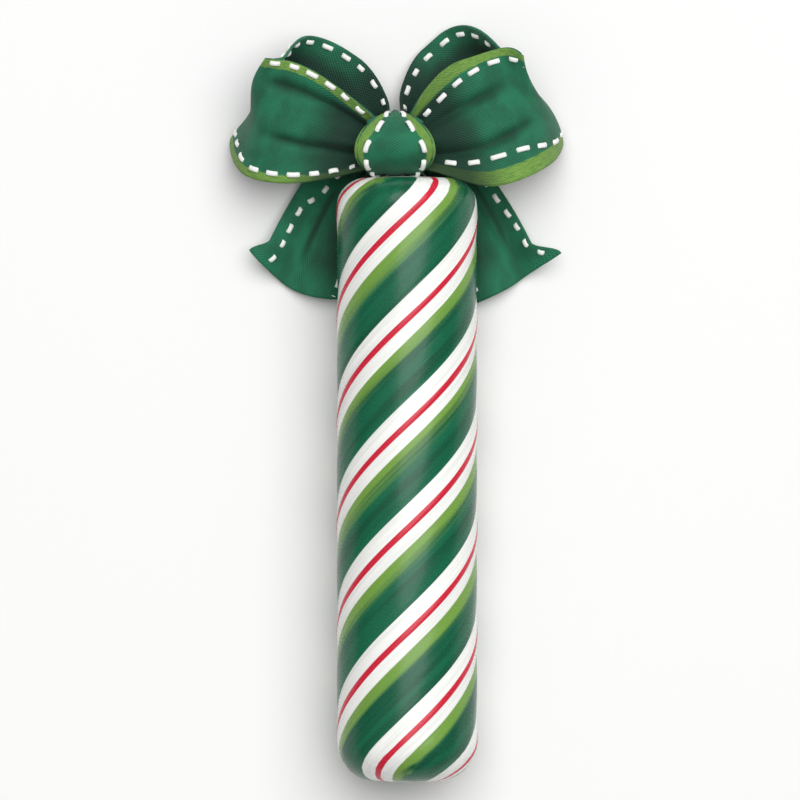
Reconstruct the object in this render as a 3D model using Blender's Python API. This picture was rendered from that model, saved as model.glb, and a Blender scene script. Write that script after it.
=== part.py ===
"""A mint candy stick with a ribbon bow, lying on a table. Metres, +Z up.

A thick stick of pulled mint sugar lies along Y. The sugar has settled a little while it was warm, so
that a narrow flat runs along its underside, and the stick rests on that flat. Its stripes turn round
it in a right-handed screw: a broad green stripe with a lime edge, then a broad white one with a thin
red line along its middle. A bow of stitched ribbon sits against the stick's +Y end. It has two loops,
a knot that wraps their gathered middle, and two tails that lie beside the stick and under its side.
"""
import math
from collections import namedtuple

import bmesh
import bpy
from mathutils import Vector

# --- The stick: its middle is at Y = 0, its resting flat at Z = 0 ---
STICK_RADIUS = 0.014
STICK_LENGTH = 0.1204
BOW_END_ROUND = 0.0054          # how far the end by the bow is rounded over
FOOT_END_ROUND = 0.0076         # the same at the other end
END_DOME = 0.0004               # how far the middle of each end bulges out
REST_FLAT_DEPTH = 0.0002        # what the flat takes off the round underside
AXIS_HEIGHT = STICK_RADIUS - REST_FLAT_DEPTH

# --- The stripes, as shares of one repeat round the stick ---
STRIPE_REPEATS = 4
STRIPE_LEAD = 0.083             # length of stick in which a stripe turns once round
RED_LINE_Y = 0.01096            # where one red line crosses the top of the stick
STRIPES = (                     # colour, share of the repeat, faces across it
    ("red", 0.08, 2),
    ("white", 0.155, 2),
    ("lime", 0.145, 2),
    ("green", 0.425, 5),
    ("white", 0.195, 2),
)
GROOVE_DEPTH = 0.00025          # the valley between a white stripe and a green one
RED_LINE_HEIGHT = 0.00012       # how far the red line stands up from the white
STICK_ROWS = 32
END_ROUND_ROWS = 4
END_FACE_ROWS = 2

# --- The ribbon ---
RIBBON_WIDTH = 0.0254
RIBBON_THICKNESS = 0.0006
FLOOR_GAP = 0.00015             # the lowest point of the ribbon above the table

# --- The knot: a band round the gathered middle of the bow, puffed out at the front ---
KNOT_X = -0.0024
KNOT_Y = 0.0671
KNOT_Z = 0.0121
KNOT_HALF_HEIGHT = 0.0065       # along the stick
KNOT_HALF_DEPTH = 0.0096        # from the table upwards
KNOT_WAIST = 0.0018             # half the width of the gathered middle inside the band
KNOT_BACK = 0.0019              # half the width of the band where it passes round the back
KNOT_FRONT = 0.0081             # half the width of the band at the front
KNOT_LEAN = math.radians(15)    # turns the widest part of the band towards the stick
KNOT_STEPS_ROUND = 32
KNOT_SIDES = ((0.0, 0.76), (0.45, 0.82), (0.86, 0.87))    # shares of its half-width and of its radius
KNOT_RIM = 0.91                 # the band's edge, as a share of its radius
KNOT_CROWN_FLATNESS = 0.9
KNOT_CROWN_STEPS = 5
KNOT_GAP = 0.0006               # room between the band's waist and the ribbon ends

Loop = namedtuple("Loop", "side reach swell front back turn_from turn_to curl neck_width spread "
                          "gather_front gather_back tilt_front tilt_back tilt_fold wave wave_at "
                          "wave_length tuck tuck_from tuck_to flare bend y z")
# side: -1 is the left loop and 1 the right one. reach: from the knot's centre to the fold.
# front, back: the angle at which each half leaves the knot, in degrees above the X axis.
# gather_front, gather_back: how far from the knot each half has opened to its full width.
# tilt_...: how far the ribbon leans up at its upper edge, in degrees. wave: the ripple in the fold.
# tuck: how far the upper edge is drawn in behind the fold, between two shares of the length.
# flare: how far the lower edge of the front half swings out below.
LEFT_LOOP = Loop(side=-1, reach=0.0307, swell=1.10, front=14.3, back=34.2, turn_from=0.33,
                 turn_to=0.79, curl=1.72, neck_width=0.24, spread=1.00, gather_front=0.0238,
                 gather_back=0.0149, tilt_front=12.6, tilt_back=12.2, tilt_fold=30.6, wave=0.00088,
                 wave_at=0.26, wave_length=0.80, tuck=0.0029, tuck_from=0.44, tuck_to=0.52,
                 flare=0.0, bend=0.0058, y=0.0660, z=0.01094)
RIGHT_LOOP = Loop(side=1, reach=0.0310, swell=1.31, front=18.1, back=41.2, turn_from=0.47,
                 turn_to=0.73, curl=1.09, neck_width=0.28, spread=1.29, gather_front=0.0153,
                 gather_back=0.0152, tilt_front=-0.4, tilt_back=-7.9, tilt_fold=45.3, wave=0.00135,
                 wave_at=-0.36, wave_length=1.40, tuck=0.0028, tuck_from=0.465, tuck_to=0.53,
                 flare=0.0010, bend=0.0075, y=0.0667, z=0.01050)
LOOP_START = KNOT_WAIST + KNOT_GAP
LOOP_DEPTH = 0.0140             # how far apart the two halves of a loop stand
NECK_DEPTH = 0.0021             # how far each half is from the middle as it leaves the knot
FOLD_SHARE = 0.13               # how much of the ribbon's length the fold takes up
WAVE_SHARE = 0.17               # the same for the ripple in it
BEHIND_FROM, BEHIND_TO = 0.35, 0.65    # where the front half turns into the back half
NECK_CLOSING = 0.8
TUCK_RISE, TUCK_FALL = 0.09, 0.16
TUCK_LOWEST = -0.2              # how far down across the ribbon the tuck reaches
FLARE_AT, FLARE_SHARE = 0.25, 0.092
PLEAT_COUNT = 2
PLEAT_DEPTH = 0.0015
LOOP_STEPS_ALONG = 52
LOOP_STEPS_ACROSS = 12

Tail = namedtuple("Tail", "side start bend end outer inner flick cut_bow cut_slant ripple_at")
# start, bend, end: the tail's middle line, as a curve pulled towards the point called bend.
# outer, inner: the ribbon's width each side of that line. flick: how far the outer corner is pulled out.
# cut_bow: how far the cut end bulges at its middle. cut_slant: how much shorter it is at its outer edge.
LEFT_TAIL = Tail(side=-1, start=(-0.0048, 0.0664), bend=(-0.0147, 0.0578), end=(-0.0220, 0.0409),
                 outer=0.0079, inner=0.0105, flick=0.0029, cut_bow=0.0031, cut_slant=0.0014,
                 ripple_at=0.10)
RIGHT_TAIL = Tail(side=1, start=(0.0001, 0.0664), bend=(0.0120, 0.0607), end=(0.0209, 0.0396),
                  outer=0.0068, inner=0.0090, flick=0.0047, cut_bow=0.0009, cut_slant=0.0026,
                  ripple_at=0.16)
TAIL_START_Z = 0.0047
TAIL_NECK = 0.0040              # half the tail's width inside the knot
TAIL_RIPPLE = 0.0011
TAIL_RIPPLES = 1.25
TAIL_CORNER_LIFT = 0.0020
TAIL_TURNED_BY = 0.35           # the share of its length in which the tail turns out of the knot
TAIL_LYING_BY = 0.45            # in which it comes down to the table
OUTER_OPEN_BY = 0.5             # in which its outer half opens to its full width
INNER_OPEN_FROM = 0.3
RIPPLE_FROM, RIPPLE_TO = 0.25, 0.9
FLICK_FROM, LIFT_FROM = 0.90, 0.75
CORNER_FROM = 0.15              # how far out across the tail the corner's flick and lift begin
TAIL_STEPS_ALONG = 18
TAIL_STEPS_ACROSS = 10

COLOURS = {                     # base colour and roughness
    "white": ((0.84, 0.84, 0.82), 0.25),
    "red": ((0.55, 0.022, 0.052), 0.25),
    "lime": ((0.15, 0.29, 0.085), 0.25),
    "green": ((0.010, 0.125, 0.066), 0.25),
    "ribbon": ((0.028, 0.140, 0.082), 0.70),
}


def ease(low, high, value):
    """0 below low, 1 above high, and a smooth rise between them."""
    share = min(max((value - low) / (high - low), 0.0), 1.0)
    return share * share * (3.0 - 2.0 * share)


def mix(start, end, share):
    return start + (end - start) * share


def material(name):
    colour, roughness = COLOURS[name]
    made = bpy.data.materials.new(name)
    made.use_nodes = True
    shader = made.node_tree.nodes["Principled BSDF"]
    shader.inputs["Base Color"].default_value = (*colour, 1.0)
    shader.inputs["Roughness"].default_value = roughness
    return made


def add_object(name, mesh_data, colours):
    mesh = bpy.data.meshes.new(name)
    mesh_data.normal_update()
    mesh_data.to_mesh(mesh)
    mesh_data.free()
    for colour in colours:
        mesh.materials.append(bpy.data.materials.get(colour) or material(colour))
    thing = bpy.data.objects.new(name, mesh)
    bpy.context.collection.objects.link(thing)
    mesh.shade_smooth()
    mesh.set_sharp_from_angle(angle=math.radians(50))
    return thing


# --- The stick ---
def stripe_columns():
    """The columns of the stick's mesh: share of the whole way round, colour and depth below the surface."""
    columns = []
    red_share = STRIPES[0][1]
    green_from = sum(share for _, share, _ in STRIPES[:2]) - red_share / 2
    green_to = green_from + STRIPES[2][1] + STRIPES[3][1]
    for repeat in range(STRIPE_REPEATS):
        at = -red_share / 2
        for colour, share, faces in STRIPES:
            for face in range(faces):
                place = at + share * face / faces
                if green_from <= place < green_to:
                    across = (place - green_from) / (green_to - green_from)
                else:
                    across = ((place - green_to) % 1.0) / (1.0 - green_to + green_from)
                depth = GROOVE_DEPTH * (1.0 - math.sqrt(math.sin(math.pi * across) + 1e-9))
                if abs(place) < red_share / 4:
                    depth -= RED_LINE_HEIGHT
                columns.append(((repeat + place) / STRIPE_REPEATS, colour, depth))
            at += share
    return columns


def stick_rows():
    """Where the stick's rings lie: place along Y, and radius."""
    half = STICK_LENGTH / 2
    rows = []
    for end, rounding in ((-1, FOOT_END_ROUND), (1, BOW_END_ROUND)):
        face_radius = STICK_RADIUS - rounding
        side = []
        for step in range(END_FACE_ROWS):
            share = (step + 1) / (END_FACE_ROWS + 1)
            side.append((half - END_DOME * share ** 2, face_radius * share))
        for step in range(END_ROUND_ROWS + 1):
            angle = math.pi / 2 * step / END_ROUND_ROWS
            along = half - END_DOME - rounding * (1.0 - math.cos(angle))
            side.append((along, face_radius + rounding * math.sin(angle)))
        rows.append([(end * along, radius) for along, radius in side])
    foot, bow = rows
    first, last = foot[-1][0], bow[-1][0]
    middle = [(mix(first, last, row / STICK_ROWS), STICK_RADIUS) for row in range(1, STICK_ROWS)]
    return foot + middle + bow[::-1]


def stick_point(column, along, radius):
    share, _, depth = column
    angle = 2.0 * math.pi * ((along - RED_LINE_Y) / STRIPE_LEAD + share)
    radius -= depth * radius / STICK_RADIUS
    return Vector((radius * math.sin(angle), along, AXIS_HEIGHT + radius * math.cos(angle)))


def make_stick():
    columns = stripe_columns()
    rows = stick_rows()
    names = list(dict.fromkeys(colour for colour, _, _ in STRIPES))
    mesh = bmesh.new()
    rings = [[mesh.verts.new(stick_point(column, *row)) for column in columns] for row in rows]
    count = len(columns)
    for ring, following in zip(rings, rings[1:]):
        for at in range(count):
            after = (at + 1) % count
            face = mesh.faces.new((ring[at], ring[after], following[after], following[at]))
            face.material_index = names.index(columns[at][1])
    white = names.index("white")
    for ring, end in ((rings[0], -1), (rings[-1], 1)):
        middle = mesh.verts.new((0.0, end * STICK_LENGTH / 2, AXIS_HEIGHT))
        for at in range(count):
            face = mesh.faces.new((ring[at], ring[(at + 1) % count], middle))
            face.material_index = white
    bmesh.ops.recalc_face_normals(mesh, faces=mesh.faces)
    # The flat that the stick rests on is cut along its underside.
    everything = mesh.verts[:] + mesh.edges[:] + mesh.faces[:]
    cut = bmesh.ops.bisect_plane(mesh, geom=everything, plane_co=(0, 0, 0), plane_no=(0, 0, -1),
                                 clear_outer=True)
    rim = [item for item in cut["geom_cut"] if isinstance(item, bmesh.types.BMEdge)]
    flat = bmesh.ops.edgeloop_fill(mesh, edges=rim)
    for face in flat["faces"]:
        face.material_index = white
    bmesh.ops.recalc_face_normals(mesh, faces=mesh.faces)
    return add_object("candy_stick", mesh, names)


# --- The bow ---
def make_ribbon(name, point, steps_along, steps_across):
    """A length of ribbon: a sheet whose points are point(along, across), given its thickness."""
    mesh = bmesh.new()
    grid = []
    for step in range(steps_along + 1):
        along = step / steps_along
        grid.append([mesh.verts.new(point(along, row / steps_across - 0.5))
                     for row in range(steps_across + 1)])
    for line, following in zip(grid, grid[1:]):
        for at in range(steps_across):
            mesh.faces.new((line[at], line[at + 1], following[at + 1], following[at]))
    ribbon = add_object(name, mesh, ("ribbon",))
    thickness = ribbon.modifiers.new("Thickness", "SOLIDIFY")
    thickness.thickness = RIBBON_THICKNESS
    thickness.offset = 0.0
    thickness.use_even_offset = False
    return ribbon


def loop_point(loop, along, across):
    """A point of a loop. along: 0 and 1 in the knot, 0.5 at the fold. across: 0.5 at the upper edge."""
    open_share = math.sin(math.pi * along)
    front_to_back = math.cos(math.pi * along)
    out = (loop.reach - LOOP_START) * max(open_share, 0.0) ** loop.swell
    behind = ease(BEHIND_FROM, BEHIND_TO, along)
    fold = math.exp(-((along - 0.5) / FOLD_SHARE) ** 2)
    angle = math.radians(mix(loop.front, loop.back, ease(loop.turn_from, loop.turn_to, along)))
    lead = math.sin(math.pi / 2 * min(out / loop.bend, 1.0))
    gather = mix(loop.gather_front, loop.gather_back, behind)
    opened = math.sin(math.pi / 2 * min(out / gather, 1.0)) ** loop.spread
    width = RIBBON_WIDTH * mix(loop.neck_width, 1.0, opened)
    tilt = math.radians(mix(loop.tilt_front, loop.tilt_back, behind) + loop.tilt_fold * fold) * lead
    depth = LOOP_DEPTH * front_to_back * open_share ** loop.curl
    depth += NECK_DEPTH * front_to_back * (1.0 - open_share ** NECK_CLOSING)
    pleat = PLEAT_DEPTH * (1.0 - opened) * math.cos(2 * math.pi * PLEAT_COUNT * (across + 0.5))
    ripple = loop.wave * math.cos(2 * math.pi * (across - loop.wave_at) / loop.wave_length)
    ripple *= math.exp(-((along - 0.5) / WAVE_SHARE) ** 2)
    tuck = loop.tuck * ease(TUCK_LOWEST, 0.5, across)
    tuck *= ease(loop.tuck_from, loop.tuck_from + TUCK_RISE, along)
    tuck *= 1.0 - ease(loop.tuck_to, loop.tuck_to + TUCK_FALL, along)
    out += ripple - tuck
    flare = loop.flare * math.exp(-((along - FLARE_AT) / FLARE_SHARE) ** 2)
    spot = across * width - flare * ease(0.0, -0.5, across)
    lean = angle * lead
    x = LOOP_START + out * math.cos(angle) - spot * math.sin(lean) * math.cos(tilt)
    y = loop.y + out * math.sin(angle) + spot * math.cos(lean) * math.cos(tilt)
    z = loop.z + depth + pleat + spot * math.sin(tilt)
    return Vector((KNOT_X + loop.side * x, y, z))


def tail_point(tail, along, across):
    """A point of a tail. along: 0 in the knot, 1 at the cut end. across: 0.5 at the outer edge."""
    start, bend, end = Vector(tail.start), Vector(tail.bend), Vector(tail.end)
    middle = start.lerp(bend, along).lerp(bend.lerp(end, along), along)
    heading = (bend - start).lerp(end - bend, along).normalized()
    facing = Vector((tail.side, 0.0)).lerp(heading, ease(0.0, TAIL_TURNED_BY, along)).normalized()
    outward = Vector((-facing.y, facing.x)) * tail.side
    if across > 0:
        full = tail.outer + tail.flick * ease(FLICK_FROM, 1.0, along) * ease(CORNER_FROM, 0.5, across)
        half = mix(TAIL_NECK, full, ease(0.0, OUTER_OPEN_BY, along))
    else:
        half = mix(TAIL_NECK, tail.inner, ease(INNER_OPEN_FROM, 1.0, along))
    place = middle + outward * 2 * across * half
    cut = tail.cut_bow * (1.0 - 4 * across * across) - tail.cut_slant * across
    place += heading * cut * along ** 3
    ripple = TAIL_RIPPLE * ease(RIPPLE_FROM, RIPPLE_TO, along)
    lying = FLOOR_GAP + RIBBON_THICKNESS / 2 + ripple
    z = mix(TAIL_START_Z, lying, ease(0.0, TAIL_LYING_BY, along))
    z -= ripple * math.cos(2 * math.pi * TAIL_RIPPLES * (across - tail.ripple_at))
    z += TAIL_CORNER_LIFT * ease(LIFT_FROM, 1.0, along) * ease(CORNER_FROM, 0.5, across)
    return Vector((*place, z))


def make_knot():
    """The band round the middle of the bow: broad and puffed at the front, drawn in at its sides."""
    profile = [*KNOT_SIDES, (1.0, KNOT_RIM)]
    for step in range(1, KNOT_CROWN_STEPS):
        turn = math.pi / 2 * step / KNOT_CROWN_STEPS
        profile.append((math.cos(turn) ** KNOT_CROWN_FLATNESS, mix(KNOT_RIM, 1.0, math.sin(turn))))
    mesh = bmesh.new()
    rings = []
    for side in (-1, 1):
        for out, radius in profile if side < 0 else profile[::-1]:
            ring = []
            for step in range(KNOT_STEPS_ROUND):
                angle = 2 * math.pi * step / KNOT_STEPS_ROUND
                facing = max(math.sin(angle - KNOT_LEAN), 0.0)
                half = mix(KNOT_BACK, KNOT_FRONT, facing)
                x = KNOT_X + side * mix(KNOT_WAIST, half, out)
                y = KNOT_Y + KNOT_HALF_HEIGHT * radius * math.cos(angle)
                z = KNOT_Z + KNOT_HALF_DEPTH * radius * math.sin(angle)
                ring.append(mesh.verts.new((x, y, z)))
            rings.append(ring)
    for ring, following in zip(rings, rings[1:]):
        for at in range(KNOT_STEPS_ROUND):
            after = (at + 1) % KNOT_STEPS_ROUND
            mesh.faces.new((ring[at], ring[after], following[after], following[at]))
    mesh.faces.new(rings[0])
    mesh.faces.new(rings[-1])
    bmesh.ops.recalc_face_normals(mesh, faces=mesh.faces)
    return add_object("bow_knot", mesh, ("ribbon",))


def make_bow():
    for name, loop in (("bow_loop_left", LEFT_LOOP), ("bow_loop_right", RIGHT_LOOP)):
        make_ribbon(name, lambda along, across, shape=loop: loop_point(shape, along, across),
                    LOOP_STEPS_ALONG, LOOP_STEPS_ACROSS)
    for name, tail in (("bow_tail_left", LEFT_TAIL), ("bow_tail_right", RIGHT_TAIL)):
        make_ribbon(name, lambda along, across, shape=tail: tail_point(shape, along, across),
                    TAIL_STEPS_ALONG, TAIL_STEPS_ACROSS)
    make_knot()


for old in list(bpy.data.objects):
    bpy.data.objects.remove(old)
make_stick()
make_bow()
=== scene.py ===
import math
from collections import namedtuple

import bmesh
import bpy
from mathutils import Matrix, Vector


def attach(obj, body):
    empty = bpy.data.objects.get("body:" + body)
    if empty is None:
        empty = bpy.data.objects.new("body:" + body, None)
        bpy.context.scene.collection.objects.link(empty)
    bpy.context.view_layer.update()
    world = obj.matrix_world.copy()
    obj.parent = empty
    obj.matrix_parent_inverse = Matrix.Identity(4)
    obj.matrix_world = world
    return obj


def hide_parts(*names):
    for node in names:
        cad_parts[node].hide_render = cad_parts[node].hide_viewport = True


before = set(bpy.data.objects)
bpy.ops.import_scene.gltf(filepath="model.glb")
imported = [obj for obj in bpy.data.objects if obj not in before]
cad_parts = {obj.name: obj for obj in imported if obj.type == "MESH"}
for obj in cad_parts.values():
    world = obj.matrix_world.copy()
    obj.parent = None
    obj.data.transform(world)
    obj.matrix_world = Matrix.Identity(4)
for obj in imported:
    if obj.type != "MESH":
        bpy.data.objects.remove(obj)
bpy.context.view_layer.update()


# --- The table, the light and the camera ---
# The stick lies on a pale matt table under one broad soft lamp, in a white room that is brighter
# overhead. The camera looks straight down on it through a long lens, the bow at the top of the frame.
FRAME_WIDTH = 0.160
FRAME_CENTRE = (-0.0014, 0.0158)
EYE_HEIGHT = 2.4
SENSOR_WIDTH = 36.0             # in millimetres, as Blender takes it
SHARP_HEIGHT = 0.012            # the frame is this wide at this height above the table
TABLE_SIZE = 6.0
TABLE_COLOUR = (0.80, 0.80, 0.795, 1.0)
LAMP_PLACE = (0.40, 0.90, 2.4)
LAMP_SIZE = 3.0
LAMP_WATTS = 84.0
ROOM_GLOW = 0.16
OVERHEAD_GLOW = 0.26            # how much brighter the room is overhead
OVERHEAD = (0.20, 0.85)         # between these heights of a look upwards

scene = bpy.context.scene
scene.view_settings.view_transform = "Standard"
eye = bpy.data.objects.new("eye", bpy.data.cameras.new("eye"))
scene.collection.objects.link(eye)
eye.location = (*FRAME_CENTRE, EYE_HEIGHT)
eye.data.sensor_width = SENSOR_WIDTH
eye.data.lens = SENSOR_WIDTH * (EYE_HEIGHT - SHARP_HEIGHT) / FRAME_WIDTH
eye.data.clip_start = 0.01
scene.camera = eye


def node(tree, kind, link=None, **settings):
    """A shader node. link: what goes into each input, by its name or number, a value or a socket."""
    made = tree.nodes.new("ShaderNode" + kind)
    for name, value in settings.items():
        setattr(made, name, value)
    for name, value in (link or {}).items():
        if isinstance(value, bpy.types.NodeSocket):
            tree.links.new(value, made.inputs[name])
        else:
            made.inputs[name].default_value = value
    return made


def maths(tree, operation, *values):
    """A Math node's result."""
    return node(tree, "Math", dict(enumerate(values)), operation=operation).outputs[0]


def step(tree, value, low, high):
    """0 where value is below low, 1 above high, and a smooth rise between."""
    ramp = node(tree, "MapRange", {"Value": value, "From Min": low, "From Max": high},
                interpolation_type="SMOOTHSTEP")
    return ramp.outputs[0]


def new_material(name, **sockets):
    """A material with these values on its shader's own sockets."""
    made = bpy.data.materials.new(name)
    made.use_nodes = True
    shader = made.node_tree.nodes["Principled BSDF"]
    for socket, value in sockets.items():
        shader.inputs[socket.replace("_", " ")].default_value = value
    return made, made.node_tree, shader


bpy.ops.object.select_all(action="DESELECT")
bpy.ops.mesh.primitive_plane_add(size=TABLE_SIZE)
table = bpy.context.object
table.name = "table"
table.data.materials.append(new_material("pale_table", Roughness=0.9, Base_Color=TABLE_COLOUR)[0])

lamp = bpy.data.objects.new("lamp", bpy.data.lights.new("lamp", "AREA"))
lamp.data.shape = "DISK"
lamp.data.size = LAMP_SIZE
lamp.data.energy = LAMP_WATTS
lamp.location = LAMP_PLACE
lamp.rotation_euler = (-lamp.location).to_track_quat("-Z", "Y").to_euler()
scene.collection.objects.link(lamp)

room = bpy.data.worlds.new("room")
room.use_nodes = True
tree = room.node_tree
height = node(tree, "SeparateXYZ", {0: node(tree, "TexCoord").outputs["Generated"]}).outputs["Z"]
glow = maths(tree, "MULTIPLY_ADD", step(tree, height, *OVERHEAD), OVERHEAD_GLOW, ROOM_GLOW)
tree.nodes["Background"].inputs["Color"].default_value = (1.0, 1.0, 1.0, 1.0)
tree.links.new(glow, tree.nodes["Background"].inputs["Strength"])
scene.world = room


# --- The mint candy stick ---
# A thick stick of pulled sugar, made warm from coloured ropes laid side by side round a white core,
# rolled out and twisted. The stripes stand up a little, with a valley where green meets white, and
# the stick has settled on a narrow flat. It lies loose on the table.
STICK_RADIUS = 0.014
STICK_LENGTH = 0.1204
BOW_END_ROUND = 0.0054          # how far the end by the bow is rounded over
FOOT_END_ROUND = 0.0076         # the same at the other end
END_DOME = 0.0004
REST_FLAT_DEPTH = 0.0002
AXIS_HEIGHT = STICK_RADIUS - REST_FLAT_DEPTH
STRIPE_REPEATS = 4
STRIPE_LEAD = 0.083             # length of stick in which a stripe turns once round
RED_LINE_Y = 0.01096            # where one red line crosses the top of the stick
GREEN_FROM, GREEN_TO = 0.195, 0.765    # the valleys, as shares of a repeat from the red line's middle
RED_HALF_SHARE = 0.04
GROOVE_DEPTH = 0.00025
RED_LINE_HEIGHT = 0.00012
COLUMNS_PER_REPEAT = 48
STICK_CUTS = 119
COLUMNS = STRIPE_REPEATS * COLUMNS_PER_REPEAT
END_RINGS = 3
END_STEPS = 9
UNEVENNESS = 0.00010            # how far the hand-pulled surface wanders
DENT_SIZE = 0.012
TABLE_SKIM = 0.00002            # the flat is trimmed this far above the table
TINY = 1e-6


def stripe_depth(place):
    """How far the surface lies below the round, at this share of a repeat from a red line's middle."""
    place %= 1.0
    if GREEN_FROM <= place < GREEN_TO:
        across = (place - GREEN_FROM) / (GREEN_TO - GREEN_FROM)
    else:
        across = ((place - GREEN_TO) % 1.0) / (1.0 - GREEN_TO + GREEN_FROM)
    from_red = min(place, 1.0 - place)
    ridge = max(math.cos(math.pi / 2 * min(from_red / RED_HALF_SHARE, 1.0)), 0.0)
    return GROOVE_DEPTH * (1.0 - math.sqrt(max(math.sin(math.pi * across), 0.0))) - RED_LINE_HEIGHT * ridge


def choose(mesh, kind, test):
    """Selects the vertices, edges or faces that pass the test, in edit mode."""
    for element in (*mesh.verts, *mesh.edges, *mesh.faces):
        element.select = False
    for element in getattr(mesh, kind):
        if test(element):
            element.select_set(True)


bpy.ops.mesh.primitive_cylinder_add(vertices=COLUMNS, radius=STICK_RADIUS, depth=STICK_LENGTH,
                                    rotation=(0, 0, -2 * math.pi * RED_LINE_Y / STRIPE_LEAD))
stick = bpy.context.object
stick.name = "mint_stick"
bpy.ops.object.transform_apply(rotation=True)
bpy.ops.object.mode_set(mode="EDIT")
half = STICK_LENGTH / 2
for end, rounding in ((-1, FOOT_END_ROUND), (1, BOW_END_ROUND)):
    shape = bmesh.from_edit_mesh(stick.data)
    choose(shape, "edges", lambda edge: all(vertex.co.z * end > half - TINY for vertex in edge.verts))
    bmesh.update_edit_mesh(stick.data)
    bpy.ops.mesh.bevel(offset=rounding, segments=END_STEPS, profile=0.5)
    face_radius = STICK_RADIUS - rounding
    for ring in range(END_RINGS):
        shape = bmesh.from_edit_mesh(stick.data)
        choose(shape, "faces", lambda face: len(face.verts) > 4 and face.normal.z * end > 0.9)
        bmesh.update_edit_mesh(stick.data)
        bpy.ops.mesh.inset(thickness=face_radius / (END_RINGS + 1))
        bpy.ops.transform.translate(value=(0, 0, end * END_DOME / (END_RINGS + 1)))
    bpy.ops.mesh.poke()
shape = bmesh.from_edit_mesh(stick.data)
choose(shape, "edges", lambda edge: edge.calc_length() > half)
bmesh.update_edit_mesh(stick.data)
bpy.ops.mesh.subdivide(number_cuts=STICK_CUTS)

# Each column of vertices is drawn in by the depth of the stripes' relief there.
by_depth = {}
for column in range(COLUMNS):
    depth = stripe_depth(column / COLUMNS_PER_REPEAT)
    by_depth.setdefault(round(depth, 7), []).append(column)
shape = bmesh.from_edit_mesh(stick.data)
column_of = {}
for vertex in shape.verts:
    if vertex.co.xy.length > 10 * TINY:
        share = math.atan2(vertex.co.x, -vertex.co.y) / (2 * math.pi) + RED_LINE_Y / STRIPE_LEAD
        column_of[vertex.index] = round(share * COLUMNS) % COLUMNS
for depth, columns in by_depth.items():
    shape = bmesh.from_edit_mesh(stick.data)
    choose(shape, "verts", lambda vertex: column_of.get(vertex.index) in columns)
    bmesh.update_edit_mesh(stick.data)
    size = 1.0 - depth / STICK_RADIUS
    bpy.ops.transform.resize(value=(size, size, 1.0), center_override=(0, 0, 0))
bpy.ops.mesh.select_all(action="SELECT")
bpy.ops.mesh.normals_make_consistent(inside=False)
bpy.ops.object.mode_set(mode="OBJECT")


def apply_modifier(piece, kind, **settings):
    """Adds a modifier and applies it at once."""
    modifier = piece.modifiers.new(kind, kind)
    for name, value in settings.items():
        setattr(modifier, name, value)
    bpy.ops.object.modifier_apply(modifier=modifier.name)


apply_modifier(stick, "SIMPLE_DEFORM", deform_method="TWIST", deform_axis="Z",
               angle=2 * math.pi * STICK_LENGTH / STRIPE_LEAD)
stick.rotation_euler = (-math.pi / 2, 0, 0)
stick.location = (0, 0, AXIS_HEIGHT)
bpy.ops.object.transform_apply(location=True, rotation=True)
dents = bpy.data.textures.new("dents", "CLOUDS")
dents.noise_scale = DENT_SIZE
apply_modifier(stick, "DISPLACE", texture=dents, texture_coords="LOCAL", strength=2 * UNEVENNESS,
               mid_level=0.5)
bpy.ops.object.mode_set(mode="EDIT")
bpy.ops.mesh.select_all(action="SELECT")
bpy.ops.mesh.bisect(plane_co=(0, 0, TABLE_SKIM), plane_no=(0, 0, 1), use_fill=True, clear_inner=True)
bpy.ops.object.mode_set(mode="OBJECT")
bpy.ops.object.shade_smooth_by_angle(angle=math.radians(40))


def blend(tree, factor, low, high):
    """A colour between low and high."""
    mixed = node(tree, "Mix", {0: factor, 6: low, 7: high}, data_type="RGBA")
    return mixed.outputs[2]


def colour(red, green, blue):
    """A colour given as it looks on a screen, 0 to 255, as the shader takes it."""
    parts = [part / 255 for part in (red, green, blue)]
    parts = [part / 12.92 if part <= 0.04045 else ((part + 0.055) / 1.055) ** 2.4 for part in parts]
    return (*parts, 1.0)


def noise(tree, place, scale, detail):
    """Noise between 0 and 1, with scale bumps to the metre."""
    return node(tree, "TexNoise", {"Vector": place, "Scale": scale, "Detail": detail}).outputs[0]


def shift_by(tree, value, texture, amount):
    """The value moved up and down by the texture, by half the amount each way."""
    return maths(tree, "ADD", value, maths(tree, "MULTIPLY_ADD", texture, amount, -amount / 2))


WHITE, CREAM = colour(238, 238, 235), colour(222, 224, 219)
GREEN, DEEP_GREEN = colour(18, 98, 68), colour(14, 78, 54)
LIME = colour(112, 152, 66)
RED = colour(198, 34, 58)
# Where the stripes meet, as shares of a repeat: over each pair one colour fades into the other.
GREEN_BEGINS, GREEN_ENDS = (0.189, 0.201), (0.772, 0.760)
LIME_ENDS = (0.27, 0.40)
RED_ENDS = (0.043, 0.035)
EDGE_WANDER, LIME_WANDER = 0.030, 0.30    # how unevenly the hand-pulled stripes run
PULLED_OUT = 0.05               # the sugar's streaks are this much finer across than along
STREAKS, BRUSH_MARKS, PITS = 1100.0, 420.0, 2600.0
CORE_RADIUS, CORE_RAGGEDNESS, CORE_FADE = 0.0036, 0.0024, 0.0020    # the white core at the ends
REPEATS_OFFSET = 8.0            # keeps the count of repeats above zero all the way round

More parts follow.
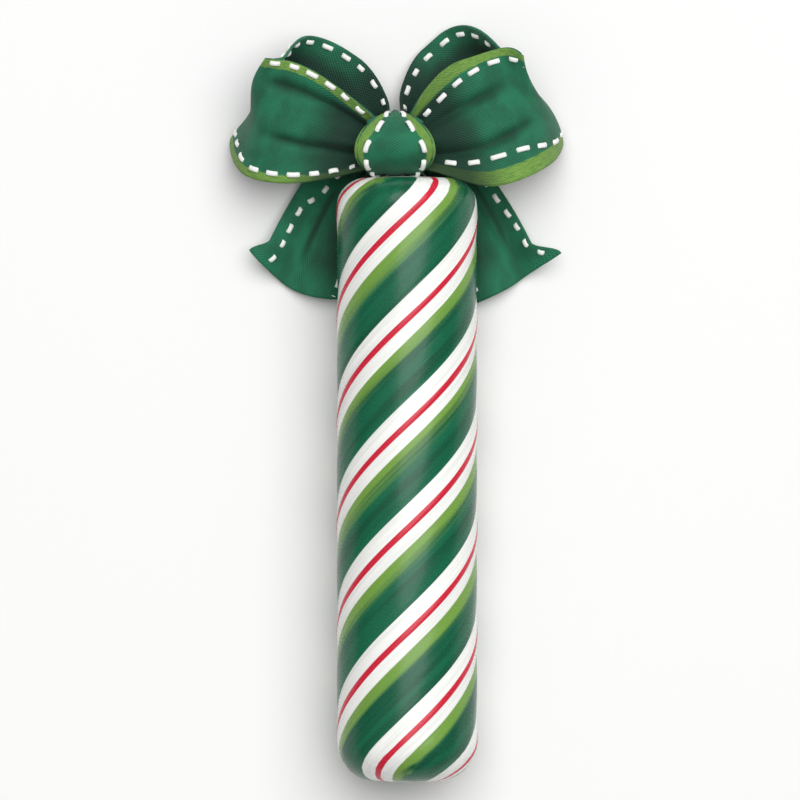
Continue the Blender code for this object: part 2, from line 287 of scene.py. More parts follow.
sugar, tree, shader = new_material(
    "mint_sugar", Roughness=0.24, Coat_Weight=0.07, Coat_Roughness=0.16, IOR=1.5, Specular_IOR_Level=0.27,
    Subsurface_Weight=0.12, Subsurface_Radius=(0.9, 1.0, 0.9), Subsurface_Scale=0.0012)
place = node(tree, "TexCoord").outputs["Object"]
along = node(tree, "SeparateXYZ", {0: place}).outputs["Y"]
turn = maths(tree, "MULTIPLY_ADD", along, -2 * math.pi / STRIPE_LEAD, 2 * math.pi * RED_LINE_Y / STRIPE_LEAD)
unwound = node(tree, "VectorRotate", {"Vector": place, "Center": (0, 0, AXIS_HEIGHT), "Angle": turn},
               rotation_type="Y_AXIS").outputs[0]
from_axis = node(tree, "VectorMath", {0: unwound, 1: (0, 0, -AXIS_HEIGHT)}).outputs[0]
parts = node(tree, "SeparateXYZ", {0: from_axis})
around = maths(tree, "ARCTAN2", parts.outputs["X"], parts.outputs["Z"])
pulled = node(tree, "Mapping", {"Vector": from_axis, "Scale": (1.0, PULLED_OUT, 1.0)}).outputs[0]
streaks = noise(tree, pulled, STREAKS, 4.0)
brushed = noise(tree, pulled, BRUSH_MARKS, 3.0)
pits = noise(tree, place, PITS, 2.0)
repeats = maths(tree, "MULTIPLY_ADD", around, STRIPE_REPEATS / (2 * math.pi), REPEATS_OFFSET)
share = maths(tree, "FRACT", shift_by(tree, repeats, streaks, EDGE_WANDER))
soft_share = maths(tree, "FRACT", shift_by(tree, repeats, brushed, LIME_WANDER))
white = blend(tree, step(tree, streaks, 0.35, 0.75), WHITE, CREAM)
green = blend(tree, step(tree, brushed, 0.35, 0.70), GREEN, DEEP_GREEN)
leaf = blend(tree, step(tree, soft_share, *LIME_ENDS), LIME, green)
is_green = maths(tree, "MULTIPLY", step(tree, share, *GREEN_BEGINS), step(tree, share, *GREEN_ENDS))
stripes = blend(tree, is_green, white, leaf)
middle = maths(tree, "FRACT", maths(tree, "ADD", share, 0.5))
from_red = maths(tree, "ABSOLUTE", maths(tree, "SUBTRACT", middle, 0.5))
stripes = blend(tree, step(tree, from_red, *RED_ENDS), stripes, RED)
flat_axis = node(tree, "VectorMath", {0: from_axis, 1: (1, 0, 1)}, operation="MULTIPLY").outputs[0]
radius = node(tree, "VectorMath", {0: flat_axis}, operation="LENGTH").outputs["Value"]
core = maths(tree, "MULTIPLY_ADD", noise(tree, from_axis, 500.0, 3.0), CORE_RAGGEDNESS, CORE_RADIUS)
stripes = blend(tree, step(tree, maths(tree, "SUBTRACT", radius, core), 0.0, CORE_FADE), white, stripes)
tree.links.new(stripes, shader.inputs["Base Color"])
height = maths(tree, "MULTIPLY_ADD", pits, 0.35, maths(tree, "MULTIPLY", streaks, 0.65))
bump = node(tree, "Bump", {"Height": height, "Strength": 0.55, "Distance": 0.00012})
tree.links.new(bump.outputs[0], shader.inputs["Normal"])
tree.links.new(maths(tree, "MULTIPLY_ADD", pits, 0.22, 0.16), shader.inputs["Roughness"])
stick.data.materials.clear()
stick.data.materials.append(sugar)
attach(stick, "root")
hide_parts("candy_stick")


# --- The left loop of the bow ---
# A length of one-inch woven ribbon, green with a lime border along each edge of its face, and a
# running stitch of white cord near each edge. It leaves the knot gathered into pleats, opens to its
# full width, folds over, and comes back behind with its plain reverse showing inside.
RIBBON_WIDTH = 0.0254
RIBBON_THICKNESS = 0.0005
KNOT_X = -0.0024
KNOT_WAIST = 0.0018             # half the width of the gathered middle inside the band
LOOP_START = KNOT_WAIST + 0.0006
NECK_HIDDEN = 0.0012            # how much further the gathered ends reach into the knot
NECK_HIDDEN_BY = 0.0150         # how far out that extra reach has died away
LOOP_DEPTH = 0.0140             # how far apart the two halves of a loop stand
NECK_DEPTH = 0.0021             # how far each half is from the middle as it leaves the knot
NECK_CLOSING = 0.8
BEHIND_FROM, BEHIND_TO = 0.35, 0.65    # where the front half turns into the back half
FOLD_SHARE = 0.13               # how much of the ribbon's length the fold takes up
WAVE_SHARE = 0.17               # the same for the ripple in it
TUCK_RISE, TUCK_FALL = 0.09, 0.16
TUCK_LOWEST = -0.2              # how far down across the ribbon the tuck reaches
FLARE_AT, FLARE_SHARE = 0.25, 0.092    # where the lower edge swings out, and over how much length
PLEAT_COUNT = 2
PLEAT_DEPTH = 0.0015
FINE_PLEATS = 5
FINE_PLEATS_AT = 0.47
FINE_PLEAT_DEPTH = 0.0006
CREASE_DEPTH = 0.0013
CREASE_RISE, CREASE_FALL = 0.05, 0.12
LOOP_STEPS = (150, 52)

Loop = namedtuple("Loop", "side reach swell front back turn_from turn_to curl neck_width spread "
                          "gather_front gather_back tilt_front tilt_back tilt_fold wave wave_at "
                          "wave_length tuck tuck_from tuck_to flare bend y z creases")
# side: -1 is the left loop and 1 the right one. reach: from the knot's centre to the fold.
# front, back: the angle at which each half leaves the knot, in degrees above the X axis.
# gather_front, gather_back: how far from the knot each half has opened to its full width.
# tilt_...: how far the ribbon leans up at its upper edge, in degrees. wave: the ripple in the fold.
# tuck: how far the upper edge is drawn in behind the fold, between two shares of the length.
# flare: how far the lower edge of the front half swings out below.
# creases: each runs (across, slant, width, from, to), slanting over the ribbon as it goes along.


def ease(low, high, value):
    """0 at low, 1 at high and beyond, and a smooth change between them."""
    share = min(max((value - low) / (high - low), 0.0), 1.0)
    return share * share * (3.0 - 2.0 * share)


def mix(start, end, share):
    return start + (end - start) * share


def change(along, value, *steps):
    """A measure along the ribbon: value at first, then turning into each (next value, from, to)."""
    for following, start, end in steps:
        value = mix(value, following, ease(start, end, along))
    return value


def crease_at(loop, along, across):
    """How deep in a crease a point of the loop is, from 0 to about 1."""
    deep = 0.0
    for place, slant, width, start, end in loop.creases:
        here = place + slant * (along - start)
        fade = ease(start - CREASE_RISE, start, along) * (1.0 - ease(end - CREASE_FALL, end, along))
        deep += fade * math.exp(-((across - here) / width) ** 2)
    return deep


def way_out(loop, along):
    """How far from the knot the ribbon's middle has come."""
    return (loop.reach - LOOP_START) * max(math.sin(math.pi * along), 0.0) ** loop.swell


def loop_point(loop, along, across):
    """A point of a loop. along: 0 and 1 in the knot, 0.5 at the fold. across: 0.5 at the upper edge."""
    open_share = math.sin(math.pi * along)
    front_to_back = math.cos(math.pi * along)
    out = way_out(loop, along)
    behind = ease(BEHIND_FROM, BEHIND_TO, along)
    fold = math.exp(-((along - 0.5) / FOLD_SHARE) ** 2)
    angle = math.radians(mix(loop.front, loop.back, ease(loop.turn_from, loop.turn_to, along)))
    lead = math.sin(math.pi / 2 * min(out / loop.bend, 1.0))
    gather = mix(loop.gather_front, loop.gather_back, behind)
    opened = math.sin(math.pi / 2 * min(out / gather, 1.0)) ** loop.spread
    width = RIBBON_WIDTH * mix(loop.neck_width, 1.0, opened)
    tilt = math.radians(mix(loop.tilt_front, loop.tilt_back, behind) + loop.tilt_fold * fold) * lead
    depth = LOOP_DEPTH * front_to_back * open_share ** loop.curl
    depth += NECK_DEPTH * front_to_back * (1.0 - open_share ** NECK_CLOSING)
    pleat = PLEAT_DEPTH * (1.0 - opened) * math.cos(2 * math.pi * PLEAT_COUNT * (across + 0.5))
    fine = FINE_PLEAT_DEPTH * (1.0 - opened) ** 2
    pleat += fine * math.cos(2 * math.pi * FINE_PLEATS * (across + FINE_PLEATS_AT))
    pleat -= CREASE_DEPTH * crease_at(loop, along, across) * (1.0 if along < 0.5 else -1.0)
    ripple = loop.wave * math.cos(2 * math.pi * (across - loop.wave_at) / loop.wave_length)
    ripple *= math.exp(-((along - 0.5) / WAVE_SHARE) ** 2)
    tuck = loop.tuck * ease(TUCK_LOWEST, 0.5, across)
    tuck *= ease(loop.tuck_from, loop.tuck_from + TUCK_RISE, along)
    tuck *= 1.0 - ease(loop.tuck_to, loop.tuck_to + TUCK_FALL, along)
    out += ripple - tuck
    flare = loop.flare * math.exp(-((along - FLARE_AT) / FLARE_SHARE) ** 2)
    spot = across * width - flare * ease(0.0, -0.5, across)
    lean = angle * lead
    x = LOOP_START + out * math.cos(angle) - spot * math.sin(lean) * math.cos(tilt)
    x -= NECK_HIDDEN * (1.0 - ease(0.0, NECK_HIDDEN_BY, out))
    y = loop.y + out * math.sin(angle) + spot * math.cos(lean) * math.cos(tilt)
    z = loop.z + depth + pleat + spot * math.sin(tilt)
    return Vector((KNOT_X + loop.side * x, y, z))


# Painted shade on the loops: in the gathers by the knot, lifted where the front's upper edge catches light,
# in the creases and inside the back half.
GATHERS_DARK = (0.0095, 0.0185)    # the gathers are dark out to here, and clear of it from there on
BORDER_LIT = 0.75               # how much less dark the front's upper edge is, where it catches light
BORDER_LIT_ACROSS, BORDER_LIT_UNTIL = (0.34, 0.39), (0.40, 0.50)
INSIDE_FROM, INSIDE_ACROSS = (0.52, 0.62), (0.27, 0.42)    # the shade inside the back half
CREASE_DARK = 0.85


def loop_painted_shade(loop, along, across):
    """How much painted shade the loop has: 0 out in the open, 1 in the gathers by the knot and deep inside,
    and nearly 1 in its creases.
    """
    gathers = 1.0 - ease(*GATHERS_DARK, way_out(loop, along))
    gathers *= 1.0 - BORDER_LIT * ease(*BORDER_LIT_ACROSS, across) * (1.0 - ease(*BORDER_LIT_UNTIL, along))
    inside = ease(*INSIDE_FROM, along) * (1.0 - ease(*INSIDE_ACROSS, across))
    return max(gathers, CREASE_DARK * min(crease_at(loop, along, across), 1.0), inside)


CLOTH_GREEN = (30, 116, 82)
# The weave's darker green and darker lime are painted shade down between the ribs.
CLOUDED, RIB_SHADE = 0.82, 0.62  # how much darker the green is in clouds, and down between the ribs
CLOTH_LIME, LIME_YARN, LIME_RIB_SHADE = (122, 160, 72), (92, 136, 58), (70, 108, 48)
CLOTH_SHADE, SHADE_STRENGTH = (14, 38, 31), 0.86
RIB_PITCH, WARP_PITCH = 0.00075, 0.00060
YARN_SCALE = (600.0, 3600.0, 1.0)
CLOUD_SCALE = 160.0
BORDER_RAGGEDNESS, BORDER_BLUR = 0.5, 0.15    # of the border's edge, in millimetres


def ribbon_material(name, bordered):
    """Ribbed cloth, darkened by the painted shade that the mesh carries at each point. bordered: its edges
    are lime.
    """
    made, tree, shader = new_material(name, Roughness=0.62, Sheen_Weight=0.06, Sheen_Roughness=0.5,
                                      Specular_IOR_Level=0.25)
    weave = node(tree, "UVMap", uv_map="weave").outputs[0]
    parts = node(tree, "SeparateXYZ", {0: weave})
    ribs = maths(tree, "SINE", maths(tree, "MULTIPLY", parts.outputs["X"], 2 * math.pi / RIB_PITCH))
    warp = maths(tree, "SINE", maths(tree, "MULTIPLY", parts.outputs["Y"], 2 * math.pi / WARP_PITCH))
    woven = maths(tree, "MULTIPLY", ribs, warp)
    yarn = noise(tree, node(tree, "Mapping", {"Vector": weave, "Scale": YARN_SCALE}).outputs[0], 1.0, 2.0)
    cloud = noise(tree, weave, CLOUD_SCALE, 3.0)
    clouded = colour(*[part * CLOUDED for part in CLOTH_GREEN])
    rib_shade = colour(*[part * RIB_SHADE for part in CLOTH_GREEN])
    green = blend(tree, step(tree, cloud, 0.35, 0.65), colour(*CLOTH_GREEN), clouded)
    # Painted shade between the ribs.
    green = blend(tree, maths(tree, "MULTIPLY_ADD", woven, 0.16, 0.16), green, rib_shade)
    if bordered:
        lime = blend(tree, step(tree, yarn, 0.35, 0.7), colour(*CLOTH_LIME), colour(*LIME_YARN))
        lime = blend(tree, maths(tree, "MULTIPLY_ADD", woven, 0.14, 0.14), lime, colour(*LIME_RIB_SHADE))
        border = node(tree, "Attribute", attribute_name="from_border").outputs["Fac"]
        border = maths(tree, "MULTIPLY_ADD", border, 1000.0, -BORDER_RAGGEDNESS / 2)
        ragged = maths(tree, "MULTIPLY_ADD", yarn, BORDER_RAGGEDNESS, border)
        green = blend(tree, step(tree, ragged, -BORDER_BLUR, BORDER_BLUR), lime, green)
    # Painted shade: the cloth is painted darker, towards CLOTH_SHADE, by as much shade as the mesh carries
    # here.
    painted_shade = node(tree, "Attribute", attribute_name="painted_shade").outputs["Fac"]
    dark = blend(tree, maths(tree, "MULTIPLY", painted_shade, SHADE_STRENGTH), green, colour(*CLOTH_SHADE))
    tree.links.new(dark, shader.inputs["Base Color"])
    height = maths(tree, "MULTIPLY_ADD", yarn, 0.5, woven)
    bump = node(tree, "Bump", {"Height": height, "Strength": 0.6, "Distance": 0.00010})
    tree.links.new(bump.outputs[0], shader.inputs["Normal"])
    return made


ribbon_face = ribbon_material("ribbon_face", bordered=True)
ribbon_reverse = ribbon_material("ribbon_reverse", bordered=False)


def make_ribbon(name, point, length, steps, winding, border, painted_shade):
    """A sheet of ribbon through point(along, across). winding: 1 where its face is on the side that
    along x across points to, -1 on the other. border(along, across): the lime edge's width there."""
    mesh = bmesh.new()
    weave = mesh.loops.layers.uv.new("weave")
    from_border = mesh.verts.layers.float.new("from_border")
    darkness = mesh.verts.layers.float.new("painted_shade")
    grid, place_of = [], {}
    for step_along in range(steps[0] + 1):
        line = []
        for step_across in range(steps[1] + 1):
            along, across = step_along / steps[0], step_across / steps[1] - 0.5
            vertex = mesh.verts.new(point(along, across))
            vertex[from_border] = (0.5 - abs(across)) * RIBBON_WIDTH - border(along, across)
            # Each vertex carries its painted shade, which the cloth's material reads.
            vertex[darkness] = painted_shade(along, across)
            place_of[vertex] = (along * length, (across + 0.5) * RIBBON_WIDTH)
            line.append(vertex)
        grid.append(line)
    for line, following in zip(grid, grid[1:]):
        for at in range(steps[1]):
            corners = (line[at], following[at], following[at + 1], line[at + 1])
            face = mesh.faces.new(corners[::winding])
            face.smooth = True
            for corner in face.loops:
                corner[weave].uv = place_of[corner.vert]
    data = bpy.data.meshes.new(name)
    mesh.to_mesh(data)
    mesh.free()
    ribbon = bpy.data.objects.new(name, data)
    scene.collection.objects.link(ribbon)
    for finish in (ribbon_face, ribbon_reverse):
        data.materials.append(finish)
    thick = ribbon.modifiers.new("thickness", "SOLIDIFY")
    thick.thickness = RIBBON_THICKNESS
    thick.offset = 0.0
    thick.use_even_offset = False
    thick.material_offset = 1
    thick.material_offset_rim = 1
    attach(ribbon, "root")
    return ribbon


CORD_HALF_WIDTH = 0.00052
CORD_HALF_HEIGHT = 0.00030
CORD_SIDES = 8
CORD_STEP = 0.00022
CORD_LIFT = (RIBBON_THICKNESS / 2 + 0.7 * CORD_HALF_HEIGHT) * 1.3
CORD_STEEPNESS = 0.3            # the smaller, the more sharply the cord dives through the ribbon
CORD_UP = 0.12                  # makes a stitch longer on top than underneath
UNEVEN_STITCHES = ((0.045, 2.3, 9.0), (0.030, 5.1, 0.0))    # each: by how much, how often, from where
CORD_LAY = (0.35, 0.5)          # how fast the cord's twist runs along it and round it
TRACK_STEPS = 600
LOOK_ALONG, LOOK_ACROSS = 0.004, 0.01

cotton, tree, shader = new_material("white_cord", Roughness=0.75, Sheen_Weight=0.3)
lay = node(tree, "UVMap", uv_map="lay").outputs[0]
strand = node(tree, "TexWave", {"Vector": lay, "Scale": 1.0}, bands_direction="DIAGONAL").outputs[1]
strands = blend(tree, strand, colour(228, 229, 226), colour(246, 246, 244))
tree.links.new(strands, shader.inputs["Base Color"])
bump = node(tree, "Bump", {"Height": strand, "Strength": 0.6, "Distance": 0.00008})
tree.links.new(bump.outputs[0], shader.inputs["Normal"])

Row = namedtuple("Row", "side inset start end pitch shift")
# A row of stitches. side: 1 along the edge where across is 0.5, -1 along the other. inset: how far it
# runs from that edge, as change() takes it. start, end: shares of the ribbon's length. pitch: from
# one stitch to the next. shift: where the first stitch starts, in stitches.


def row_across(row, along):
    return row.side * (0.5 - change(along, *row.inset) / RIBBON_WIDTH)


def cord_ring(point, row, winding, along, travelled):
    """The points round the cord where it has travelled so far along the row."""
    across = row_across(row, along)
    low, high = max(along - LOOK_ALONG, 0.0), min(along + LOOK_ALONG, 1.0)
    ahead = (point(high, row_across(row, high)) - point(low, row_across(row, low))).normalized()
    beside = point(along, across + LOOK_ACROSS) - point(along, across - LOOK_ACROSS)
    up = ahead.cross(beside).normalized() * winding
    beside = up.cross(ahead).normalized()
    stitch = travelled / row.pitch + row.shift
    stitch += sum(amount * math.sin(often * stitch + begin * row.shift)
                  for amount, often, begin in UNEVEN_STITCHES)
    wave = math.sin(2 * math.pi * stitch) + CORD_UP
    lift = CORD_LIFT * wave / (abs(wave) + CORD_STEEPNESS)
    middle = point(along, across) + up * lift
    ring = []
    for side in range(CORD_SIDES):
        turn = 2 * math.pi * side / CORD_SIDES
        offset = beside * CORD_HALF_WIDTH * math.cos(turn) + up * CORD_HALF_HEIGHT * math.sin(turn)
        ring.append(middle + offset)
    return ring


def make_stitching(name, point, winding, rows):
    """White cord sewn in and out of a ribbon by hand, so its stitches are a little uneven."""
    mesh = bmesh.new()
    lay = mesh.loops.layers.uv.new("lay")
    for row in rows:
        track = [mix(row.start, row.end, at / TRACK_STEPS) for at in range(TRACK_STEPS + 1)]
        spots = [point(along, row_across(row, along)) for along in track]
        lengths = [0.0]
        for before, after in zip(spots, spots[1:]):
            lengths.append(lengths[-1] + (after - before).length)
        rings, at = [], 0
        steps = int(lengths[-1] / CORD_STEP)
        for number in range(steps + 1):
            travelled = lengths[-1] * number / steps
            while lengths[at + 1] < travelled and at < TRACK_STEPS - 1:
                at += 1
            share = (travelled - lengths[at]) / (lengths[at + 1] - lengths[at])
            ring = cord_ring(point, row, winding, mix(track[at], track[at + 1], share), travelled)
            rings.append([mesh.verts.new(spot) for spot in ring])
        for number, (ring, following) in enumerate(zip(rings, rings[1:])):
            for side in range(CORD_SIDES):
                after = (side + 1) % CORD_SIDES
                face = mesh.faces.new((ring[side], ring[after], following[after], following[side]))
                face.smooth = True
                for corner, (u, v) in zip(face.loops, ((0, 0), (0, 1), (1, 1), (1, 0))):
                    corner[lay].uv = ((number + u) * CORD_LAY[0], (side + v) * CORD_LAY[1])
        mesh.faces.new(rings[0][::-1])
        mesh.faces.new(rings[-1])
    bmesh.ops.recalc_face_normals(mesh, faces=mesh.faces)
    data = bpy.data.meshes.new(name)
    mesh.to_mesh(data)
    mesh.free()
    data.materials.append(cotton)
    cord = bpy.data.objects.new(name, data)
    scene.collection.objects.link(cord)
    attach(cord, "root")
    return cord


LEFT_LOOP = Loop(side=-1, reach=0.0307, swell=1.10, front=14.3, back=34.2, turn_from=0.33,
                 turn_to=0.79, curl=1.72, neck_width=0.24, spread=1.00, gather_front=0.0238,
                 gather_back=0.0149, tilt_front=12.6, tilt_back=12.2, tilt_fold=30.6, wave=0.00088,
                 wave_at=0.26, wave_length=0.80, tuck=0.0029, tuck_from=0.44, tuck_to=0.52,
                 flare=0.0, bend=0.0058, y=0.0660, z=0.01094,
                 creases=((0.30, 0.0, 0.050, 0.06, 0.40), (-0.15, 0.1, 0.045, 0.06, 0.36)))
LEFT_LENGTH = 0.0767
LEFT_UPPER_BORDER = (0.0032, (0.0019, 0.06, 0.20))    # broader in the gathers by the knot
LEFT_LOWER_BORDER = 0.0018
LEFT_ROWS = (Row(1, (0.0015, (0.0008, 0.09, 0.15), (0.0013, 0.45, 0.70)), 0.07, 0.93, 0.0041, 0.76),
             Row(-1, (0.0020, (0.0033, 0.34, 0.44), (0.0020, 0.44, 0.60)), 0.07, 0.93, 0.00415, 0.22))


def left_point(along, across):
    return loop_point(LEFT_LOOP, along, across)


def left_border(along, across):
    return change(along, *LEFT_UPPER_BORDER) if across > 0 else LEFT_LOWER_BORDER


left_loop = make_ribbon("ribbon_loop_left", left_point, LEFT_LENGTH, LOOP_STEPS, -1, left_border,
                        lambda along, across: loop_painted_shade(LEFT_LOOP, along, across))
left_rows = make_stitching("stitches_loop_left", left_point, -1, LEFT_ROWS)
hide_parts("bow_loop_left")


# --- The right loop of the bow ---
# The other half of the same bow, a little fuller. Its lime border is broad along the lower edge,
# where the ribbon turns up towards the eye, and its stitches run just inside the border.
RIGHT_LOOP = Loop(side=1, reach=0.0310, swell=1.31, front=18.1, back=41.2, turn_from=0.47,
                  turn_to=0.73, curl=1.09, neck_width=0.28, spread=1.29, gather_front=0.0153,
                  gather_back=0.0152, tilt_front=-0.4, tilt_back=-7.9, tilt_fold=45.3, wave=0.00135,
                  wave_at=-0.36, wave_length=1.40, tuck=0.0028, tuck_from=0.465, tuck_to=0.53,
                  flare=0.0010, bend=0.0075, y=0.0667, z=0.01050,
                  creases=((0.10, 0.4, 0.050, 0.06, 0.36), (-0.25, 0.4, 0.045, 0.06, 0.40)))
RIGHT_LENGTH = 0.0790
RIGHT_ROWS = (Row(1, (0.0058, (0.0023, 0.07, 0.30), (0.0019, 0.45, 0.70)), 0.07, 0.93, 0.00425, 0.46),
              Row(-1, (0.0043, (0.0054, 0.10, 0.22), (0.0030, 0.27, 0.45)), 0.07, 0.93, 0.00505, 0.20))
RIGHT_UPPER_SHARE, RIGHT_UPPER_LEAST = 0.68, 0.0015    # the upper border, as a share of its row's inset
RIGHT_LOWER_BORDER = (0.0022, (0.0031, 0.03, 0.10), (0.0022, 0.45, 0.60))


def right_point(along, across):
    return loop_point(RIGHT_LOOP, along, across)


def right_border(along, across):
    if across > 0:
        return max(RIGHT_UPPER_SHARE * change(along, *RIGHT_ROWS[0].inset), RIGHT_UPPER_LEAST)
    return change(along, *RIGHT_LOWER_BORDER)


right_loop = make_ribbon("ribbon_loop_right", right_point, RIGHT_LENGTH, LOOP_STEPS, 1, right_border,
                         lambda along, across: loop_painted_shade(RIGHT_LOOP, along, across))
right_rows = make_stitching("stitches_loop_right", right_point, 1, RIGHT_ROWS)
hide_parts("bow_loop_right")


# --- The tails of the bow ---
# The two ends of the ribbon lie on the table with their plain reverse up. Each leaves the knot low
# down, spreads to its full width, runs under the stick's side, and is cut off at a slant.
TAIL_LENGTH = 0.032
FLOOR_GAP = 0.00015
SOLID_THICKNESS = 0.0006        # the ribbon's thickness in the solids
CORD_BENEATH = 0.0005           # room for the stitches' cord, which runs beneath it too
TAIL_START_Z = 0.0047
TAIL_NECK = 0.0040              # half the tail's width inside the knot
TAIL_TURNED_BY = 0.35           # the share of its length in which the tail turns out of the knot
TAIL_LYING_BY = 0.45            # in which it comes down to the table
OUTER_OPEN_BY = 0.5             # in which its outer half opens to its full width
INNER_OPEN_FROM = 0.3
TAIL_RIPPLE = 0.0011
TAIL_RIPPLES = 1.25
RIPPLE_FROM, RIPPLE_TO = 0.25, 0.9
TAIL_CORNER_LIFT = 0.0020
FLICK_FROM, LIFT_FROM = 0.90, 0.75
CORNER_FROM = 0.15              # how far out across the tail the corner's flick and lift begin
TAIL_PLEATS = 4
TAIL_PLEAT_DEPTH = 0.0010
TAIL_PLEATED, TAIL_PLEAT_FADE = (0.05, 0.55), 1.3    # they fade out between these shares of its length
TAIL_CREASE = 0.0007
TAIL_CREASE_STEP = 0.05         # the mesh dips this far to one side of where the crease is darkest
TAIL_CREASE_WIDTH, TAIL_CREASE_SLANT = 0.055, 0.15
TAIL_CREASE_SPOT = 0.6          # the crease runs through crease_at at this share of the length
TAIL_CREASE_FROM, TAIL_CREASE_TO = (0.35, 0.50), (0.75, 0.92)
# The tails' painted shade: how strong it is, where the gathers' shade fades out, and where the stick's
# painted shadow lies across and along them.
TAIL_SHADE = 0.85
TAIL_DARK = (0.15, 0.55)
BESIDE_STICK, BESIDE_UNTIL = (0.05, -0.25), (0.8, 1.0)
TAIL_BORDER = 0.0024
TAIL_STEPS = (90, 56)

Tail = namedtuple("Tail", "side start bend end outer inner flick cut_bow cut_slant ripple_at crease_at")
# start, bend, end: the tail's middle line, as a curve pulled towards the point called bend.
# outer, inner: the ribbon's width each side of that line. flick: how far the outer corner is pulled out.
# cut_bow: how far the cut end bulges at its middle. cut_slant: how much shorter it is at its outer edge.


def tail_crease(tail, along, across):
    """How deep in its crease a point of the tail is: it runs down from the knot and fades out."""
    fade = ease(*TAIL_CREASE_FROM, along) * (1.0 - ease(*TAIL_CREASE_TO, along))
    away = across - tail.crease_at + TAIL_CREASE_SLANT * (along - TAIL_CREASE_SPOT)
    return fade * math.exp(-(away / TAIL_CREASE_WIDTH) ** 2)


def tail_point(tail, along, across):
    """A point of a tail. along: 0 in the knot, 1 at the cut end. across: 0.5 at the outer edge."""
    start, bend, end = Vector(tail.start), Vector(tail.bend), Vector(tail.end)
    middle = start.lerp(bend, along).lerp(bend.lerp(end, along), along)
    heading = (bend - start).lerp(end - bend, along).normalized()
    facing = Vector((tail.side, 0.0)).lerp(heading, ease(0.0, TAIL_TURNED_BY, along)).normalized()
    outward = Vector((-facing.y, facing.x)) * tail.side
    if across > 0:
        full = tail.outer + tail.flick * ease(FLICK_FROM, 1.0, along) * ease(CORNER_FROM, 0.5, across)
        half = mix(TAIL_NECK, full, ease(0.0, OUTER_OPEN_BY, along))
    else:
        half = mix(TAIL_NECK, tail.inner, ease(INNER_OPEN_FROM, 1.0, along))
    place = middle + outward * 2 * across * half
    cut = tail.cut_bow * (1.0 - 4 * across * across) - tail.cut_slant * across
    place += heading * cut * along ** 3
    ripple = TAIL_RIPPLE * ease(RIPPLE_FROM, RIPPLE_TO, along)
    lying = FLOOR_GAP + SOLID_THICKNESS / 2 + ripple + CORD_BENEATH
    z = mix(TAIL_START_Z, lying, ease(0.0, TAIL_LYING_BY, along))
    z -= ripple * math.cos(2 * math.pi * TAIL_RIPPLES * (across - tail.ripple_at))
    z += TAIL_CORNER_LIFT * ease(LIFT_FROM, 1.0, along) * ease(CORNER_FROM, 0.5, across)
    gathered = (1.0 - ease(*TAIL_PLEATED, along)) ** TAIL_PLEAT_FADE
    z += TAIL_PLEAT_DEPTH * gathered * math.cos(2 * math.pi * TAIL_PLEATS * across)
    z += TAIL_CREASE * tail_crease(tail, along, across + TAIL_CREASE_STEP)
    return Vector((*place, z))


def tail_painted_shade(tail, along, across):
    """How much painted shade the tail has: where it is gathered, in its crease, and the stick's painted
    shadow beside the stick.
    """
    gathered = 1.0 - ease(*TAIL_DARK, along)
    beside = ease(*BESIDE_STICK, across) * (1.0 - ease(*BESIDE_UNTIL, along))
    return TAIL_SHADE * max(gathered, tail_crease(tail, along, across), beside)


TAILS = (
    ("left", 1,
     Tail(side=-1, start=(-0.0048, 0.0664), bend=(-0.0147, 0.0578), end=(-0.0220, 0.0409), outer=0.0079,
          inner=0.0105, flick=0.0029, cut_bow=0.0031, cut_slant=0.0014, ripple_at=0.10, crease_at=0.06),
     (Row(1, (0.0074, (0.0039, 0.48, 0.66)), 0.10, 0.985, 0.00365, 0.14),
      Row(-1, (0.0026,), 0.10, 0.985, 0.00365, 0.14))),
    ("right", -1,
     Tail(side=1, start=(0.0001, 0.0664), bend=(0.0120, 0.0607), end=(0.0209, 0.0396), outer=0.0068,
          inner=0.0090, flick=0.0047, cut_bow=0.0009, cut_slant=0.0026, ripple_at=0.16, crease_at=0.20),
     (Row(1, (0.0030, (0.0016, 0.60, 0.85)), 0.10, 0.985, 0.00365, 0.24),
      Row(-1, (0.0026,), 0.10, 0.985, 0.00365, 0.24))),
)
for side, winding, tail, rows in TAILS:
    def this_tail(along, across, shape=tail):
        return tail_point(shape, along, across)

    ribbon = make_ribbon(f"ribbon_tail_{side}", this_tail, TAIL_LENGTH, TAIL_STEPS, winding,
                         lambda along, across: TAIL_BORDER,
                         lambda along, across, shape=tail: tail_painted_shade(shape, along, across))
    stitches = make_stitching(f"stitches_tail_{side}", this_tail, winding, rows)
    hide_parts(f"bow_tail_{side}")


# --- The knot ---
# A band of ribbon wraps the gathered middle of the bow. It is broad and puffed at the front, drawn in
# at its sides and back, and its edges are turned in. Inside it is the bunched ribbon.
KNOT_Y = 0.0671
KNOT_Z = 0.0121
KNOT_HALF_HEIGHT = 0.0065       # along the stick
KNOT_HALF_DEPTH = 0.0096        # from the table upwards
KNOT_BACK = 0.0019              # half the width of the band where it passes round the back
KNOT_FRONT = 0.0081             # half the width of the band at the front
KNOT_LEAN = math.radians(15)    # turns the widest part of the band towards the stick
KNOT_RIM = 0.91                 # the band's edge, as a share of its radius
KNOT_CROWN_FLATNESS = 0.9
CROWN_BACK, CROWN_FRONT = 0.55, 0.86    # how much of the band's width makes its outer face
TURNED_IN = (0.60, 0.80)        # where its edges end inside: shares of the half-width and the radius
BAND_PLEATS = 5
BAND_PLEAT_DEPTH = 0.050        # as a share of the knot's radius
BAND_PLEAT_FADE = 1.5           # how quickly the pleats are lost towards the puffed front
BAND_LENGTH = 0.0510
BAND_ROW_INSET = (0.010287, (0.007239, 0.37, 0.56))    # the rows are close at its top, apart in front
BORDER_SHORT_OF_ROW = 0.0005588
BAND_ROWS = (Row(1, BAND_ROW_INSET, 0.30, 0.74, 0.0050, 0.0),
             Row(-1, BAND_ROW_INSET, 0.30, 0.74, 0.0050, 0.0))
KNOT_STEPS = (112, 80)


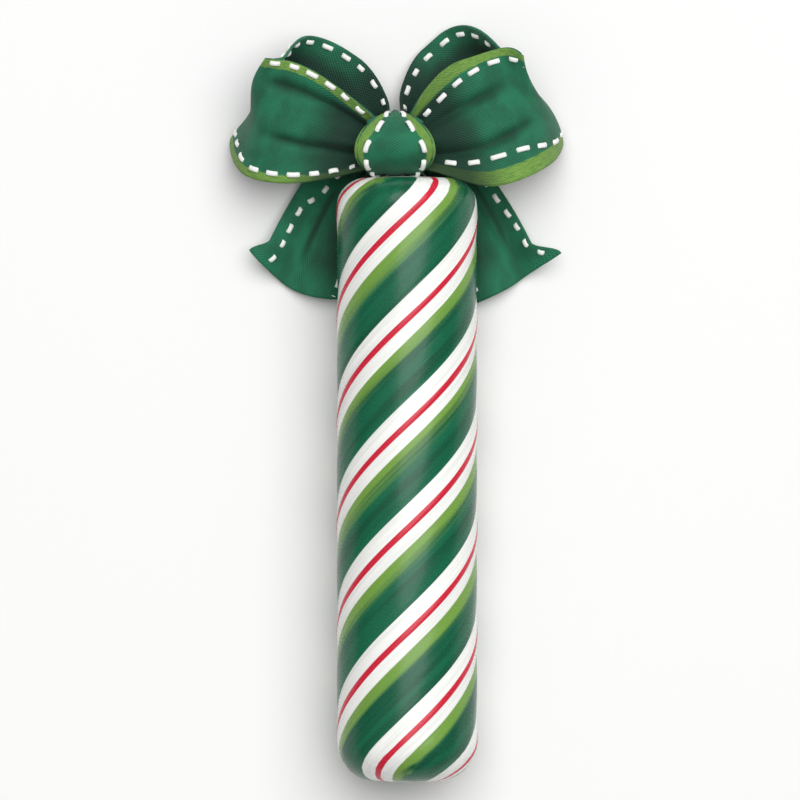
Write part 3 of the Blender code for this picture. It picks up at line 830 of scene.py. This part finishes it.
def band_point(along, across):
    """A point of the band. along: starts and ends at the back. across: from -0.5 to 0.5."""
    angle = 2 * math.pi * (along - 0.25)
    facing = max(math.sin(angle - KNOT_LEAN), 0.0)
    half = mix(KNOT_BACK, KNOT_FRONT, facing)
    crown = mix(CROWN_BACK, CROWN_FRONT, facing)
    side, from_middle = (1 if across > 0 else -1), abs(2 * across)
    if from_middle <= crown:
        rise = math.pi / 2 * (1.0 - from_middle / crown)
        out = math.cos(rise) ** KNOT_CROWN_FLATNESS
        radius = KNOT_RIM + (1.0 - KNOT_RIM) * math.sin(rise)
    else:
        inward = (from_middle - crown) / (1.0 - crown)
        out, radius = mix(1.0, TURNED_IN[0], inward), mix(KNOT_RIM, TURNED_IN[1], inward)
    pleats = math.cos(2 * math.pi * BAND_PLEATS * across)
    radius += BAND_PLEAT_DEPTH * (1.0 - facing) ** BAND_PLEAT_FADE * pleats
    x = KNOT_X + side * half * out
    y = KNOT_Y + KNOT_HALF_HEIGHT * radius * math.cos(angle)
    z = KNOT_Z + KNOT_HALF_DEPTH * radius * math.sin(angle)
    return Vector((x, y, z))


band = make_ribbon("ribbon_knot", band_point, BAND_LENGTH, KNOT_STEPS, 1,
                   lambda along, across: change(along, *BAND_ROW_INSET) - BORDER_SHORT_OF_ROW,
                   lambda along, across: 0.0)
band.modifiers["thickness"].offset = -1.0
band_rows = make_stitching("stitches_knot", band_point, 1, BAND_ROWS)
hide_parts("bow_knot")

BUNCH_FILL = 0.86               # how much of the knot's height and depth the bunched ribbon fills
BUNCH_SIDES = 60
BUNCH_RINGS = ((0.0012, 0.0006), (0.0012, -0.0004))    # each ring of its ends: inset and rise
bpy.ops.object.select_all(action="DESELECT")
bpy.ops.mesh.primitive_cylinder_add(vertices=BUNCH_SIDES, radius=1.0, depth=2 * KNOT_WAIST,
                                    location=(KNOT_X, KNOT_Y, KNOT_Z), rotation=(0, math.pi / 2, 0))
bunch = bpy.context.object
bunch.name = "ribbon_bunch"
bpy.ops.object.transform_apply(location=False, rotation=True)
bunch.scale = (1.0, KNOT_HALF_HEIGHT * BUNCH_FILL, KNOT_HALF_DEPTH * BUNCH_FILL)
bpy.ops.object.transform_apply(location=True, scale=True)
bpy.ops.object.mode_set(mode="EDIT")
shape = bmesh.from_edit_mesh(bunch.data)
choose(shape, "faces", lambda face: abs(face.normal.x) > 0.9)
bmesh.update_edit_mesh(bunch.data)
for inset, rise in BUNCH_RINGS:
    bpy.ops.mesh.inset(thickness=inset, depth=rise, use_individual=True)
bpy.ops.object.mode_set(mode="OBJECT")
bpy.ops.object.shade_smooth_by_angle(angle=math.radians(60))
plain, tree, shader = new_material("bunched_ribbon", Roughness=0.7)
place = node(tree, "TexCoord").outputs["Object"]
# The bunched ribbon is painted darker than the cloth, in bands of painted shade that stand for its folds.
folds = node(tree, "TexWave", {"Vector": place, "Scale": 220.0, "Distortion": 2.0}, bands_direction="Z")
fold_shaded = blend(tree, folds.outputs[1], colour(16, 52, 38), colour(34, 96, 70))
tree.links.new(fold_shaded, shader.inputs["Base Color"])
bunch.data.materials.append(plain)
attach(bunch, "root")
